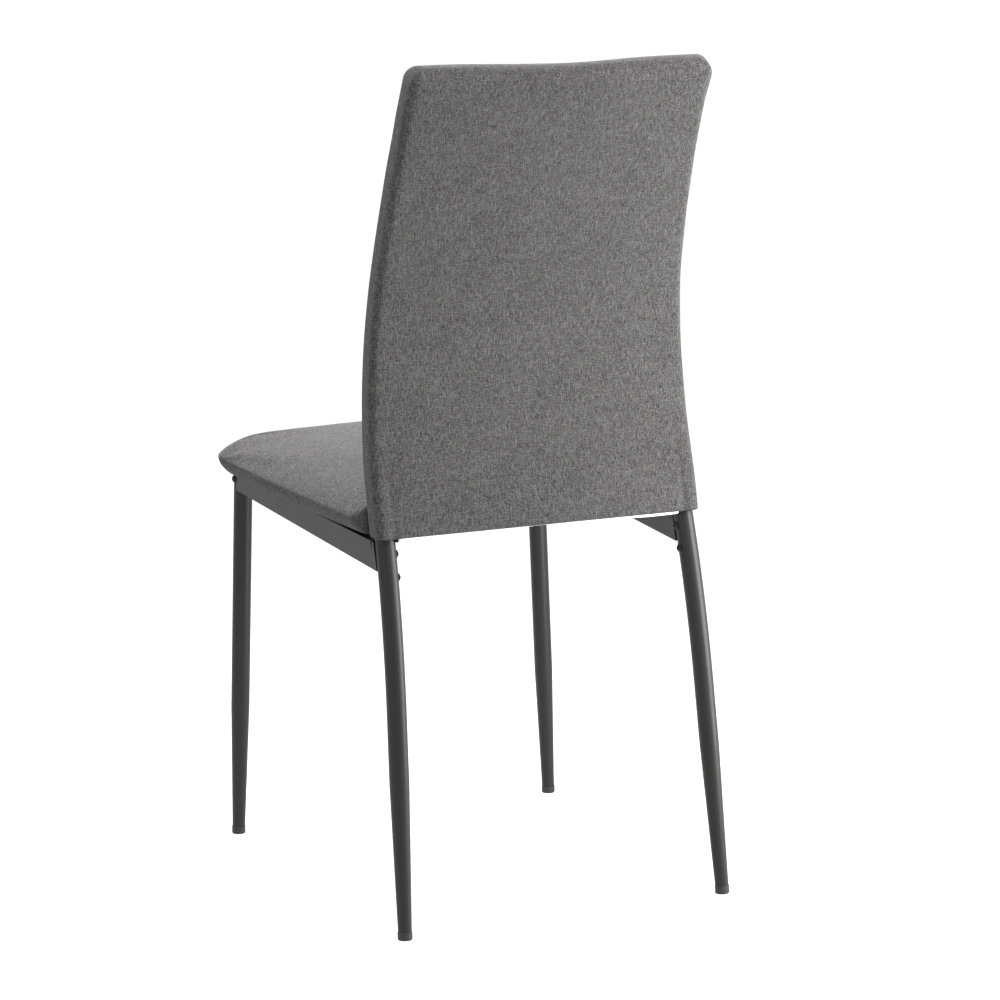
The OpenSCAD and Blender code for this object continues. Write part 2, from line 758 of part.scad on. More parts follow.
module panel_rivet() {
    rear = panel_t / 2 + tab_sag + tab_t;
    translate([-tab_l / 2, 0, 0]) rotate([-90, 0, 0]) {
        translate([0, 0, -panel_t / 2 - rivet_head_t])
            cylinder(h = rivet_head_t, r = rivet_head_r);
        translate([0, 0, -panel_t / 2]) cylinder(h = panel_t / 2 + rear, r = rivet_r);
        translate([0, 0, rear]) cylinder(h = rivet_head_t / 2, r = rivet_head_r);
    }
}

module panel_rivets() color(ZINC) at_panel_tabs() panel_rivet();

// Pale tray of lining that closes the back's lower end between the legs
module back_lining() {
    wall = lining_t;
    half = frame_clear(back_low_h, leg_wall + 2 * slip + soft_gap) - 2;
    rim = back_t / 2 - fabric_t - soft_gap;
    low = back_low_h - lining_drop;
    high = back_low_h + lining_tuck;
    color(PALE_LINING) difference() {
        intersection() {
            back_slab(-rim, rim, low - back_t, top_lean);
            translate([-half, -big / 2, low]) cube([2 * half, big, high - low]);
        }
        intersection() {
            back_slab(-rim + wall, rim - wall, low - back_t, top_lean);
            translate([-half + wall, -big / 2, low + wall])
                cube([2 * (half - wall), big, high - low]);
        }
    }
}

// ---------------------------------------------------------------- seat
// Outline of the seat in its own plane, drawn in by d (and by less along its rear edge)
module seat_outline(d, rear_d) {
    r0 = max(seat_front_r - d, 2);
    r1 = max(seat_rear_r - d, 2);
    s0 = seat_s0 + d;
    s1 = seat_s1 - rear_d;
    x0 = seat_w / 2 - d;
    x1 = seat_rear_w / 2 - d;
    front_c = [x0 - r0, s0 + r0];
    rear_c = [x1 - r1, s1 - r1];
    normal = [cos(seat_slant), sin(seat_slant)];
    bow_c = s0 - seat_bow + bow_r;
    for (side = [-1, 1]) {
        translate([side * front_c[0], front_c[1]]) circle(r0);
        translate([side * rear_c[0], rear_c[1]]) circle(r1);
    }
    a = front_c + r0 * normal;
    b = rear_c + r1 * normal;
    polygon([
        [front_c[0], s0], a, b, [rear_c[0], s1],
        [-rear_c[0], s1], [-b[0], b[1]], [-a[0], a[1]], [-front_c[0], s0]
    ]);
    intersection() {
        translate([0, bow_c]) circle(bow_r, $fn = bow_fn);
        translate([-front_c[0], s0 - seat_bow]) square([2 * front_c[0], seat_bow + r0]);
    }
}

// Crowned pad drawn in by d, from height h0 up: slices of the outline under one hull
module seat_pad(d, h0) {
    below = [for (a = [90:-30:0]) [seat_belt_h * (1 - sin(a)), seat_under_in * (1 - cos(a))]];
    above = [for (a = [15:15:90]) [crown_h(a) - d * sin(a), crown_in(a)]];
    hull()
        for (slice = concat(below, above))
            translate([0, 0, max(slice[0], h0)])
                linear_extrude(thin)
                    seat_outline(slice[1] + d, seat_rear_share * slice[1] + d, $fn = soft_fn);
}

module seat_board_body(grow, h0, h1) {
    translate([0, 0, h0]) linear_extrude(h1 - h0)
        seat_outline(board_in - grow, board_in - grow);
}

// Children stand at each seat screw, z = 0 at the rails' top edges
module at_seat_screws() {
    left_and_right() at_rail()
        for (s = bracket_s)
            translate([-rail_w / 2 - screw_reach, s, 0])
                children();
}

// Children stand at each staple, x along the staple, on the seat's underside
module at_staples() {
    s_first = bracket_s[0] + bracket_w / 2 + staple_w;
    s_last = bracket_s[1] - bracket_w / 2 - staple_w;
    side_half = seat_w / 2 - staple_in;
    front_half = seat_w / 2 - seat_front_r - board_in;
    at_pad() {
        for (side = [-1, 1], i = [0:staple_side_rows - 1]) {
            s = s_first + (s_last - s_first) * i / (staple_side_rows - 1);
            x = side_half - (s - seat_s0 - seat_front_r) * tan(seat_slant);
            translate([side * x, s, 0]) rotate([0, 0, 90 + side * seat_slant]) children();
        }
        for (i = [0:staple_front_rows - 1]) {
            share = 2 * i / (staple_front_rows - 1) - 1;
            bow = seat_bow * (1 - pow(share, 2));
            translate([front_half * share, seat_s0 + staple_in - bow, 0]) children();
            translate([front_half * share, seat_s1 - staple_in, 0]) children();
        }
    }
}

// Round wire staple grown by g: a crown below the fabric and two legs up into the board
module staple(g) {
    w = staple_wire + 2 * g;
    for (x = [-1, 1] * (staple_w - staple_wire) / 2)
        translate([x - w / 2, -w / 2, -staple_wire - g]) cube([w, w, staple_wire + staple_leg + 2 * g]);
    translate([-staple_w / 2 - g, -w / 2, -staple_wire - g]) cube([staple_w + 2 * g, w, w]);
}

module staple_slots() {
    at_staples() intersection() {
        staple(staple_play);
        translate([-staple_w, -staple_w, -staple_wire]) cube([2 * staple_w, 2 * staple_w, 4 * staple_leg]);
    }
}

module seat_board() {
    color(PLY) difference() {
        at_pad() seat_board_body(0, fabric_t + touch, fabric_t + board_t);
        at_seat_screws() cylinder(h = 2 * board_t, r = tee_barrel_r + thread_play);
        staple_slots();
    }
}

module seat_tee_nuts() {
    top = touch + fabric_t + board_t;
    color(ZINC) at_seat_screws() difference() {
        union() {
            translate([0, 0, top]) cylinder(h = tee_flange_t, r = tee_flange_r);
            translate([0, 0, top - tee_barrel_l]) cylinder(h = tee_barrel_l, r = tee_barrel_r);
        }
        translate([0, 0, top - tee_barrel_l - over])
            cylinder(h = tee_barrel_l + tee_flange_t + 2 * over, r = bolt_d / 2);
    }
}

module seat_brackets() {
    web_h = rail_front_h - 4;
    color(STEEL) difference() {
        left_and_right() at_rail()
            for (s = bracket_s) {
                translate([-rail_w / 2 - bracket_reach, s - bracket_w / 2, -bracket_t])
                    cube([bracket_reach, bracket_w, bracket_t]);
                translate([-rail_w / 2 - bracket_t, s - bracket_w / 2, -web_h])
                    cube([bracket_t, bracket_w, web_h]);
            }
        at_seat_screws() translate([0, 0, -over - bracket_t])
            cylinder(h = bracket_t + 2 * over, r = bolt_hole_r);
    }
}

module seat_screws() {
    color(STEEL) at_seat_screws() translate([0, 0, -bracket_t])
        rotate([0, 90, 0]) button_bolt(seat_screw_l);
}

module seat_foam() {
    color(FOAM) difference() {
        at_pad() difference() {
            seat_pad(foam_clear_t, fabric_t + soft_gap);
            seat_board_body(soft_gap, -over, fabric_t + board_t + soft_gap);
        }
        at_seat_screws() cylinder(h = touch + fabric_t + board_t + tee_flange_t + soft_gap,
                                  r = tee_flange_r + soft_gap);
    }
}

module seat_cover() {
    hem_in = board_in + hem_w;
    color(FABRIC) difference() {
        at_pad() difference() {
            seat_pad(0, 0);
            seat_pad(fabric_t, fabric_t);
            translate([0, 0, -over]) linear_extrude(fabric_t + 2 * over)
                seat_outline(hem_in, hem_in);
        }
        staple_slots();
    }
}

module seat_lining() {
    gap = 0.5;
    inset = board_in + hem_w + gap;
    color(DARK_LINING) difference() {
        at_pad() translate([0, 0, fabric_t - lining_t]) linear_extrude(lining_t)
            seat_outline(inset, inset);
        at_seat_screws() cylinder(h = board_t, r = bolt_hole_r + soft_gap);
    }
}

module seat_staples() color(ZINC) at_staples() staple(0);

// ---------------------------------------------------------------- pieces
rear_leg();  // rear_leg_left
mirror([1, 0, 0]) rear_leg();  // rear_leg_right
front_leg();  // front_leg_left
mirror([1, 0, 0]) front_leg();  // front_leg_right
rear_glide();  // rear_glide_left
mirror([1, 0, 0]) rear_glide();  // rear_glide_right
front_glide();  // front_glide_left
mirror([1, 0, 0]) front_glide();  // front_glide_right
front_leg_cap();  // front_leg_cap_left
mirror([1, 0, 0]) front_leg_cap();  // front_leg_cap_right
side_rail();  // side_rail_left
mirror([1, 0, 0]) side_rail();  // side_rail_right
rail_saddle();  // rail_saddle_left
mirror([1, 0, 0]) rail_saddle();  // rail_saddle_right
front_rail();
corner_plate();  // corner_plate_left
mirror([1, 0, 0]) corner_plate();  // corner_plate_right
corner_nuts();
front_leg_bolts();
rear_leg_bolts();
upright_nuts();
back_upright();  // back_upright_left
mirror([1, 0, 0]) back_upright();  // back_upright_right
back_top_tube();
back_lower_tube();
back_panel();
panel_tabs();
panel_rivets();
back_foam_front();
back_foam_rear();
back_cover();
back_lining();
seat_board();
seat_tee_nuts();
seat_brackets();
seat_screws();
seat_foam();
seat_cover();
seat_lining();
seat_staples();
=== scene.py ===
# %% Load the frame
import json
import math

import bpy
import numpy as np
from mathutils import Matrix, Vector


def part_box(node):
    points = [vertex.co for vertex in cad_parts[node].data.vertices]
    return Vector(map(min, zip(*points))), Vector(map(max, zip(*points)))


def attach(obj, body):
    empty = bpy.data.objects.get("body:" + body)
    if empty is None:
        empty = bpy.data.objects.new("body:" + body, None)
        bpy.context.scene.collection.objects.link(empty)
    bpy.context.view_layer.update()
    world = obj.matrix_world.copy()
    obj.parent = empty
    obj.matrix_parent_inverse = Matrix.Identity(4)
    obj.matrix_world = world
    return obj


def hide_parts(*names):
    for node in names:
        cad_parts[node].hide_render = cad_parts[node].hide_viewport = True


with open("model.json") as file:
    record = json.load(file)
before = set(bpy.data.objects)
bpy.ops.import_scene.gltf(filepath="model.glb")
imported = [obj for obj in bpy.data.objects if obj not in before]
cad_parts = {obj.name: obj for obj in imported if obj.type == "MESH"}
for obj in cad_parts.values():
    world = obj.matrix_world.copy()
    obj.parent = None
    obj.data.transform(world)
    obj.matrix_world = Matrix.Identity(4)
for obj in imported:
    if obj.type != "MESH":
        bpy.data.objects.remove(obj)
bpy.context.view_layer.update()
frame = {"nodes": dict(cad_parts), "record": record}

# %% [markdown]
# # An upholstered dining chair
#
# The frame comes in as it was drawn: steel tubes, rails, bolts, boards. Two things have to
# be made here. The first is the upholstery, because a drawn cushion is a plain block and a
# real one is foam pulled tight under cloth. The second is every finish: powder coat, zinc,
# moulded plastic, plywood, woven cloth and lining.
#
# All lengths are in metres. The sitter faces -Y, and +X is the sitter's left.

# %% [markdown]
# ## The camera
#
# The chair is seen from behind and from its left, from a little above, through a long lens
# that keeps its upright lines nearly parallel. A camera looks along its own -Z, so its
# matrix has the picture's right, the picture's up and the way back as its three columns.
# Roll tips the picture by a degree, as a camera held by hand does.

# %% Camera
CAMERA_PLACE = (1.5605, 3.6070, 1.1202)
CAMERA_AZIMUTH, CAMERA_ELEVATION, CAMERA_ROLL = np.radians([156.1218, 10.1371, -1.0002])
CAMERA_LENS = 128.38


def camera_matrix(place, azimuth, elevation, roll):
    """Columns right, up and back; back = (sin a cos e, -cos a cos e, sin e), then rolled about it."""
    back = np.array([
        math.sin(azimuth) * math.cos(elevation),
        -math.cos(azimuth) * math.cos(elevation),
        math.sin(elevation),
    ])
    right = np.cross((0, 0, 1), back)
    right /= np.linalg.norm(right)
    up = np.cross(back, right)
    columns = (
        math.cos(roll) * right + math.sin(roll) * up,
        math.cos(roll) * up - math.sin(roll) * right,
        back,
    )
    turned = Matrix([[c[i] for c in columns] for i in range(3)]).to_4x4()
    return Matrix.Translation(place) @ turned


scene = bpy.context.scene
camera = bpy.data.objects.new("camera", bpy.data.cameras.new("camera"))
camera.data.lens = CAMERA_LENS
camera.data.sensor_width = 36
camera.matrix_world = camera_matrix(CAMERA_PLACE, CAMERA_AZIMUTH, CAMERA_ELEVATION, CAMERA_ROLL)
scene.collection.objects.link(camera)
scene.camera = camera
print("camera at", CAMERA_PLACE)

# %% [markdown]
# ## Finishes as formulas
#
# A finish is a small graph of nodes. Wiring nodes by hand hides what they compute, so one
# class stands for a wire: adding or multiplying two wires makes the Math node for it, and a
# pattern then reads like the formula it is. Every other node comes from one method, which
# sets the node's own settings first and then fills or links its sockets.


# %% The wiring class
class Wire:
    """An output socket. Arithmetic on it adds Math nodes to the same board."""

    def __init__(self, board, socket):
        self.board, self.socket = board, socket

    def calc(self, operation, *terms):
        return self.board.add("Math", {"operation": operation}, dict(enumerate(terms)))

    def __add__(self, other):
        return self.calc("ADD", self, other)

    def __radd__(self, other):
        return self.calc("ADD", other, self)

    def __sub__(self, other):
        return self.calc("SUBTRACT", self, other)

    def __rsub__(self, other):
        return self.calc("SUBTRACT", other, self)

    def __mul__(self, other):
        return self.calc("MULTIPLY", self, other)

    def __rmul__(self, other):
        return self.calc("MULTIPLY", other, self)

    def sine(self):
        return self.calc("SINE", self)

    def above(self, low, high):
        """0 below low, 1 above high and a smooth step between them."""
        return self.board.add(
            "MapRange", {"interpolation_type": "SMOOTHSTEP"}, {0: self, 1: low, 2: high}
        )


class Board:
    """The nodes of one material, with a Principled shader at the end."""

    def __init__(self, name, **shader):
        self.material = bpy.data.materials.new(name)
        self.material.use_nodes = True
        self.tree = self.material.node_tree
        self.shader = self.tree.nodes["Principled BSDF"]
        for socket, value in shader.items():
            self.shader.inputs[socket.replace("_", " ")].default_value = value

    def add(self, kind, settings=None, sockets=None, out=0):
        """Adds a node: settings first, then a value or a link for each socket named."""
        node = self.tree.nodes.new("ShaderNode" + kind)
        for key, value in (settings or {}).items():
            if key == "stops":
                for k, (place, grey) in enumerate(value):
                    stops = node.color_ramp.elements
                    stop = stops[k] if k < 2 else stops.new(place)
                    stop.position, stop.color = place, (*grey, 1)
            else:
                setattr(node, key, value)
        for socket, value in (sockets or {}).items():
            self.feed(node.inputs[socket], value)
        if isinstance(out, tuple):
            return [Wire(self, node.outputs[o]) for o in out]
        return Wire(self, node.outputs[out])

    def feed(self, socket, value):
        if isinstance(value, Wire):
            self.tree.links.new(value.socket, socket)
        else:
            socket.default_value = value

    def mix(self, factor, low, high):
        """The colour low where factor is 0 and high where it is 1."""
        return self.add("Mix", {"data_type": "RGBA"}, {0: factor, 6: low, 7: high}, out=2)

    def grain(self, x, y, z=0.0, detail=2.0, roughness=0.5):
        """Smooth noise of about one blob per unit of x, y and z."""
        place = self.add("CombineXYZ", None, {0: x, 1: y, 2: z})
        return self.add(
            "TexNoise",
            None,
            {"Vector": place, "Scale": 1.0, "Detail": detail, "Roughness": roughness},
        )

    def bump(self, height, distance, strength=1.0, normal=None):
        sockets = {"Height": height, "Distance": distance, "Strength": strength}
        if normal is not None:
            sockets["Normal"] = normal
        return self.add("Bump", None, sockets)

    def body_millimetres(self):
        """Object coordinates in millimetres, as three wires."""
        place = self.add("TexCoord", None, None, out=3)
        return [w * 1000.0 for w in self.add("SeparateXYZ", None, {0: place}, out=(0, 1, 2))]

    def cloth_millimetres(self):
        """The piece's own cloth coordinates in millimetres: across and along the cloth."""
        place = self.add("UVMap", {"uv_map": "cloth"})
        return [w * 1000.0 for w in self.add("SeparateXYZ", None, {0: place}, out=(0, 1))]

    def finish(self, **links):
        for socket, value in links.items():
            self.feed(self.shader.inputs[socket.replace("_", " ")], value)
        return self.material


def grey(level, warmth=0.0):
    """A grey of that level; warmth lifts red and lowers blue by that share."""
    return (level * (1 + warmth), level, level * (1 - warmth), 1.0)


print("wiring ready")

# %% [markdown]
# ## The woven cloth
#
# The cover is a melange: dark and pale fibres are spun together, so no two yarns have the
# same grey. Warp yarns run up the back and along the seat, weft yarns cross them, and each
# passes over and under the other in a plain weave. A yarn's tone drifts along its length
# and jumps from one yarn to the next, which is what makes the fine upright streaks. Slubs
# are thick pale stretches of yarn.
#
# The pattern needs coordinates that follow the cloth, so each cushion carries a map called
# cloth that measures its own surface in metres. The weave's height, sin(x) sin(y), is
# positive where the warp is on top.

# %% Woven cloth
YARN = 0.62
WEAVE_DEPTH = 0.00022


def woven_cloth(name, dark, pale):
    board = Board(
        name, Roughness=0.92, Specular_IOR_Level=0.25, Sheen_Weight=0.05, Sheen_Roughness=0.5
    )
    across, along = board.cloth_millimetres()
    turn = math.pi / YARN
    crossing = (across * turn).sine() * (along * turn).sine()
    warp_on_top = (crossing * 0.9 + 0.5).above(0.2, 0.8)
    warp = board.grain(across * 1.35, along * 0.13, 3.1, detail=1.0)
    weft = board.grain(across * 0.3, along * 1.25, 7.7, detail=1.0)
    fibre = board.grain(across * 2.8, along * 1.5, 1.3, detail=2.0)
    slub = board.grain(across * 0.9, along * 0.07, 5.2, detail=0.0).above(0.62, 0.74)
    cross_slub = board.grain(across * 0.09, along * 0.9, 9.4, detail=0.0).above(0.64, 0.76)
    cloud = board.grain(across * 0.03, along * 0.02, 2.6, detail=2.0)
    yarn = warp * warp_on_top + weft * (1 - warp_on_top)
    tone = (
        (yarn - 0.5) * 3.5
        + (fibre - 0.5) * 3.6
        + (cloud - 0.5) * 0.25
        + slub * 0.36
        + cross_slub * 0.16
        + 0.42
    )
    colour = board.add("ValToRGB", {"stops": [(0.0, dark), (1.0, pale)]}, {0: tone})
    height = crossing * 0.5 + (fibre - 0.5) * 0.8 + slub * 0.5 + cross_slub * 0.3
    return board.finish(
        Base_Color=colour,
        Normal=board.bump(height, WEAVE_DEPTH, 0.7),
    )


cloth = woven_cloth("woven_cloth", dark=(0.006, 0.0058, 0.0059), pale=(0.087, 0.085, 0.0852))
print("cloth: yarns", YARN, "mm apart")

# %% [markdown]
# ## The hard finishes
#
# Powder coat is a baked plastic skin. It is satin, not mirror-like, and close up it has the
# fine dimples of an orange. Bare zinc is brighter and streaky, moulded plastic is duller,
# and plywood shows long grain. They read the frame's own coordinates, because the pattern
# has to run on over a tube from one end to the other.


# %% Hard finishes
def powder_coat(name, level):
    board = Board(name, Roughness=0.4, Specular_IOR_Level=0.24)
    x, y, z = board.body_millimetres()
    dimples = board.grain(x * 1.7, y * 1.7, z * 1.7, detail=2.0)
    drift = board.grain(x * 0.03, y * 0.03, z * 0.012, detail=2.0)
    speck = board.grain(x * 4.0, y * 4.0, z * 4.0, detail=0.0).above(0.6, 0.8)
    return board.finish(
        Base_Color=board.mix(drift * 0.6 + speck * 0.4, grey(level), grey(level * 1.5, 0.01)),
        Roughness=0.36 + drift * 0.1 + dimples * 0.05,
        Normal=board.bump(dimples, 0.00003, 0.6),
    )


def zinc_plate(name):
    board = Board(name, Metallic=1.0, Roughness=0.35)
    x, y, z = board.body_millimetres()
    streak = board.grain(x * 0.25, y * 2.0, z * 2.0, detail=3.0)
    return board.finish(
        Base_Color=board.mix(streak, grey(0.42, -0.02), grey(0.62, 0.02)),
        Roughness=0.28 + streak * 0.2,
        Normal=board.bump(streak, 0.00002, 0.4),
    )


def moulded_plastic(name):
    board = Board(name, Roughness=0.5, Specular_IOR_Level=0.4)
    x, y, z = board.body_millimetres()
    erosion = board.grain(x * 3.0, y * 3.0, z * 3.0, detail=3.0)
    return board.finish(
        Base_Color=board.mix(erosion, grey(0.010), grey(0.022)),
        Roughness=0.45 + erosion * 0.15,
        Normal=board.bump(erosion, 0.00004, 0.5),
    )


def plywood(name):
    board = Board(name, Roughness=0.7)
    x, y, z = board.body_millimetres()
    rings = board.grain(x * 0.5, y * 0.02, z * 0.1, detail=4.0, roughness=0.6)
    pores = board.grain(x * 3.0, y * 0.1, z * 0.5, detail=1.0).above(0.55, 0.75)
    light, dark = (0.56, 0.38, 0.2, 1), (0.4, 0.25, 0.12, 1)
    return board.finish(
        Base_Color=board.mix(rings * 0.8 + pores * 0.2, light, dark),
        Roughness=0.6 + pores * 0.2,
        Normal=board.bump(pores, 0.00005, -0.5),
    )


def felted_lining(name, low, high):
    """Non-woven lining: random fibres pressed flat, with a grid of weld points."""
    board = Board(name, Roughness=0.85, Specular_IOR_Level=0.2)
    across, along = board.cloth_millimetres()
    fibres = board.grain(across * 0.8, along * 2.4, 4.4, detail=4.0, roughness=0.7)
    cross = board.grain(across * 2.4, along * 0.8, 8.8, detail=4.0, roughness=0.7)
    turn = math.pi / 0.9
    weld = ((across * turn).sine() * (along * turn).sine()).above(0.5, 0.9)
    return board.finish(
        Base_Color=board.mix(fibres * 0.5 + cross * 0.5, grey(low), grey(high)),
        Normal=board.bump(fibres * 0.5 + cross * 0.5 - weld * 0.6, 0.0001, 0.7),
    )


finishes = {
    "powder_coat": powder_coat("powder_coat", 0.012),
    "black_bolts": powder_coat("black_bolts", 0.006),
    "zinc": zinc_plate("zinc_plate"),
    "plastic": moulded_plastic("moulded_plastic"),
    "plywood": plywood("plywood"),
    "fabric": cloth,
    "foam": felted_lining("foam", 0.5, 0.6),
    "pale_lining": felted_lining("pale_lining", 0.82, 0.94),
    "dark_lining": felted_lining("dark_lining", 0.012, 0.03),
}
slots = {p["node"]: p["material_slot"] for p in frame["record"]["subparts"]}
for node, piece in frame["nodes"].items():
    for slot in piece.material_slots:
        slot.material = finishes[slots[node]]
print(len(finishes), "finishes on", len(slots), "sub-parts")

# %% [markdown]
# ## From grids of points to meshes
#
# Every soft piece starts as a grid: rows of points, each row a closed loop. The next helper
# turns such rows into quads, four point numbers to a face, with whole-array arithmetic. The
# cloth map gets a value for each corner of each face, so that it can jump where the loop
# closes.


# %% Mesh helpers
def loop_quads(rows, shut=True):
    """Quads between rows of point numbers; each row is a loop if shut."""
    here, there = rows[:-1], rows[1:]
    if shut:
        here = np.hstack([here, here[:, :1]])
        there = np.hstack([there, there[:, :1]])
    corners = (here[:, :-1], here[:, 1:], there[:, 1:], there[:, :-1])
    return np.stack(corners, axis=-1).reshape(-1, 4)


def corner_values(values, shut_step=None):
    """The same corners' values; shut_step is what the value gains on the way round the loop."""
    if shut_step is not None:
        values = np.concatenate([values, values[:, :1] + shut_step], axis=1)
    here, there = values[:-1], values[1:]
    corners = (here[:, :-1], here[:, 1:], there[:, 1:], there[:, :-1])
    return np.stack(corners, axis=2).reshape(-1, values.shape[-1])


def new_piece(name, points, quads, cloth_map, material):
    mesh = bpy.data.meshes.new(name)
    mesh.from_pydata(np.asarray(points).tolist(), [], np.asarray(quads).tolist())
    layer = mesh.uv_layers.new(name="cloth")
    layer.data.foreach_set("uv", np.asarray(cloth_map, np.float32).ravel())
    mesh.shade_smooth()
    mesh.materials.append(material)
    mesh.update()
    piece = bpy.data.objects.new(name, mesh)
    scene.collection.objects.link(piece)
    return piece


def get_points(mesh):
    points = np.empty(len(mesh.vertices) * 3, np.float32)
    mesh.vertices.foreach_get("co", points)
    return points.reshape(-1, 3).astype(float)


def set_points(mesh, points):
    mesh.vertices.foreach_set("co", np.asarray(points, np.float32).ravel())
    mesh.update()


def get_normals(mesh):
    normals = np.empty(len(mesh.vertices) * 3, np.float32)
    mesh.vertices.foreach_get("normal", normals)
    return normals.reshape(-1, 3).astype(float)


def smooth_step(x, low, high):
    """0 at low, 1 at high, 3t^2 - 2t^3 between them, in either order."""
    t = np.clip((x - low) / (high - low), 0, 1)
    return t * t * (3 - 2 * t)


print("mesh helpers ready")

# %% [markdown]
# ## Foam under tension
#
# Foam pushes its cover outwards until the cloth's own tension holds it. Blender's Cloth
# does the same with a pressure inside a closed mesh. Gravity is off, the hem is held, and
# a point that moves a distance is set to cap tanh(distance / cap). The seat's points move
# further than its cap, so the cap and not the tension decides most of its fullness. The
# result is then written into the mesh and the modifier goes. Only the seat is puffed up.


# %% Cloth helper
def blow_up(piece, held, pressure, cap, frames=20, stiffness=30.0):
    """Puffs a closed skin up; held marks the points that stay."""
    before = get_points(piece.data)
    group = piece.vertex_groups.new(name="held")
    group.add([int(i) for i in np.flatnonzero(held)], 1.0, "REPLACE")
    cover = piece.modifiers.new("cover", "CLOTH")
    cover.point_cache.frame_start, cover.point_cache.frame_end = 1, frames
    rules = cover.settings
    rules.quality = 5
    rules.mass = 0.3
    rules.air_damping = 2.0
    rules.tension_stiffness = rules.compression_stiffness = stiffness
    rules.shear_stiffness = stiffness / 2
    rules.bending_stiffness = 2.0
    rules.use_pressure = True
    rules.uniform_pressure_force = pressure
    rules.vertex_group_mass = group.name
    rules.effector_weights.gravity = 0.0
    for step in range(1, frames + 1):
        scene.frame_set(step)
    shown = piece.evaluated_get(bpy.context.evaluated_depsgraph_get())
    moved = get_points(shown.data) - before
    piece.modifiers.remove(cover)
    piece.vertex_groups.remove(group)
    scene.frame_set(1)
    far = np.linalg.norm(moved, axis=1, keepdims=True)
    share = np.divide(cap * np.tanh(far / cap), far, out=np.zeros_like(far), where=far > 0)
    set_points(piece.data, before + moved * share)
    print(piece.name, "moved", round(float(far.max()) * 1000, 1), "mm, held to", cap * 1000)


def refine(piece):
    """Applies one level of subdivision to the mesh itself."""
    finer = piece.modifiers.new("finer", "SUBSURF")
    finer.levels = finer.render_levels = 1
    shown = piece.evaluated_get(bpy.context.evaluated_depsgraph_get())
    mesh = bpy.data.meshes.new_from_object(shown)
    piece.modifiers.remove(finer)
    piece.data = mesh
    mesh.shade_smooth()


print("cloth helper ready")

# %% [markdown]
# ## The shape of the back
#
# Seen from the side, the back is one line of steady thickness: it comes up from the leg,
# reverses into the small of the sitter's back and then leans away. The line is three arcs,
# each joined to the next with the same slope. Measured along the line from its lower edge,
# the first has its centre in front and the other two behind.
#
# A cross-section of the back is a flat oval: two flats, four quarter circles and two short
# sides. It is written once with four columns of factors, so that any width, thickness and
# corner radius give the loop by multiplication.

# %% The back's line
BACK_HALF = 0.017
LEG_ARC = (-0.97824, 0.09708, 1.200)
LUMBAR_ARC = (0.57757, 0.58326, 0.430)
UPPER_ARC = (1.23578, 0.37623, 1.120)
REVERSE_Z = 0.455
UPPER_LEAN = math.radians(17.46)

cover_low, cover_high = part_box("back_cover")
low_lean = -math.asin((cover_low.z - LEG_ARC[1]) / LEG_ARC[2])
reverse_lean = -math.asin((REVERSE_Z - LEG_ARC[1]) / LEG_ARC[2])
top_lean = math.asin((cover_high.z - UPPER_ARC[1]) / (UPPER_ARC[2] + BACK_HALF))
leg_run = LEG_ARC[2] * (low_lean - reverse_lean)
lumbar_run = LUMBAR_ARC[2] * (UPPER_LEAN - reverse_lean)
upper_run = UPPER_ARC[2] * (top_lean - UPPER_LEAN)
back_run = leg_run + lumbar_run + upper_run


def back_line(run):
    """Depth y, height z and backward lean of the back's middle, at a length along its line."""
    lean = np.where(
        run < leg_run,
        low_lean - run / LEG_ARC[2],
        np.where(
            run < leg_run + lumbar_run,
            reverse_lean + (run - leg_run) / LUMBAR_ARC[2],
            UPPER_LEAN + (run - leg_run - lumbar_run) / UPPER_ARC[2],
        ),
    )
    in_leg, in_lumbar = run < leg_run, run < leg_run + lumbar_run
    y = np.where(
        in_leg,
        LEG_ARC[0] + LEG_ARC[2] * np.cos(lean),
        np.where(
            in_lumbar,
            LUMBAR_ARC[0] - LUMBAR_ARC[2] * np.cos(lean),
            UPPER_ARC[0] - UPPER_ARC[2] * np.cos(lean),
        ),
    )
    z = np.where(
        in_leg,
        LEG_ARC[1] - LEG_ARC[2] * np.sin(lean),
        np.where(
            in_lumbar,
            LUMBAR_ARC[1] + LUMBAR_ARC[2] * np.sin(lean),
            UPPER_ARC[1] + UPPER_ARC[2] * np.sin(lean),
        ),
    )
    return y, z, lean


HALF_WIDTH_Z = [0.418, 0.44, 0.50, 0.55, 0.60, 0.65, 0.70, 0.75, 0.80, 0.85, 0.90]
HALF_WIDTH_X = [0.1899, 0.1900, 0.1892, 0.1868, 0.1840, 0.1811, 0.1787, 0.1762, 0.1742, 0.1728, 0.1722]


def half_width(z):
    """Half the back's width at height z: a fifth-degree curve near the stations above."""
    return np.polyval(np.polyfit(np.array(HALF_WIDTH_Z) - 0.65, HALF_WIDTH_X, 5), z - 0.65)


print("back line is", round(back_run, 4), "m long, leaning", round(math.degrees(top_lean), 1))

# %% The back's skin
FLAT_STEPS, CORNER_STEPS, SIDE_STEPS = 68, 5, 1
CORNER_SHARE = 0.55
TOP_CORNER = 0.018
HEM_RADIUS = 0.0014
HEM_UP = 0.009
SKIN_HALF = 0.0158
HEM_RISE = 0.003
BACK_SHIFT = (-0.0008, 0.0028)
LUMBAR_SHIFT = 0.0014
BACK_WIDER = -0.0003
BACK_LONGER = 0.0058
HEM_FADE, SHIFT_FADE, LEVEL_FADE = 0.08, 0.05, 0.07
LUMBAR_RUN, LUMBAR_SPREAD = 0.13, 0.07
BODY_ROWS, ROUND_ROWS = 101, 13


